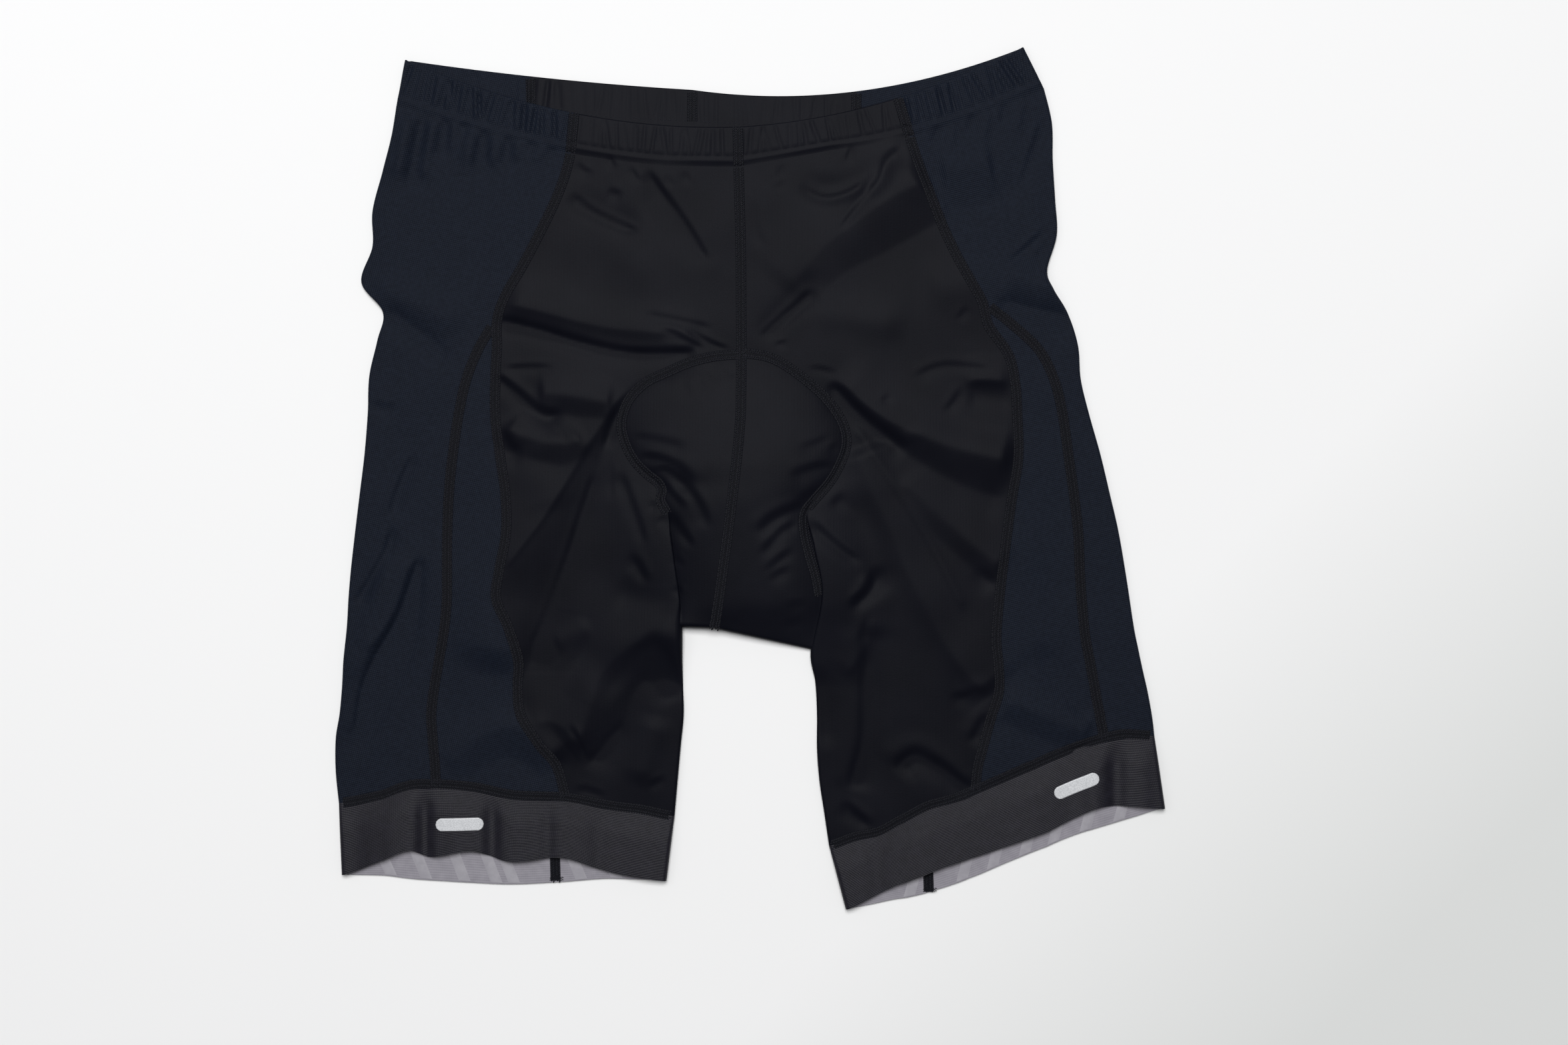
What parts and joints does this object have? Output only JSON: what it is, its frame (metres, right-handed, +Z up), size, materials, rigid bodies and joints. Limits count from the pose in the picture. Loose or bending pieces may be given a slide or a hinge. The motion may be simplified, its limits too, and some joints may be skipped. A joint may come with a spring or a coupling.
{
  "type": "cycling shorts laid flat",
  "caption": "Padded knit cycling shorts laid flat, front side up, with panelled legs, a gathered elastic waistband, flat seams and wide elastic leg grippers.",
  "frame": {"origin": "on the surface that the shorts lie on, under the middle of the garment's outline", "axes": "+X to the right as laid, +Y towards the waist, +Z up out of the front"},
  "size_m": [0.5189, 0.5388, 0.0142],
  "materials": {
    "black_knit": "smooth stretch knit with a soft satin sheen",
    "navy_mesh": "matt stretch knit with a fine dimple mesh",
    "gripper_elastic": "dense satin elastic with fine ribs",
    "gripper_inside": "pale matt inside of the elastic",
    "silicone_grip": "thin translucent silicone lines",
    "seam_thread": "black textured polyester thread",
    "reflective_tab": "retroreflective grey transfer"
  },
  "bodies": {
    "root": {"front_panel_left": "black_knit", "front_panel_right": "black_knit", "side_panel_left": "navy_mesh", "side_panel_right": "navy_mesh", "thigh_insert_left": "navy_mesh", "thigh_insert_right": "navy_mesh", "back_panel_left": "black_knit", "back_panel_right": "black_knit", "waistband_front_left": "black_knit", "waistband_front_right": "black_knit", "waistband_side_left": "navy_mesh", "waistband_side_right": "navy_mesh", "waistband_back_left": "black_knit", "waistband_back_right": "black_knit", "leg_gripper_left": "gripper_elastic", "leg_gripper_right": "gripper_elastic"}
  },
  "joints": []
}
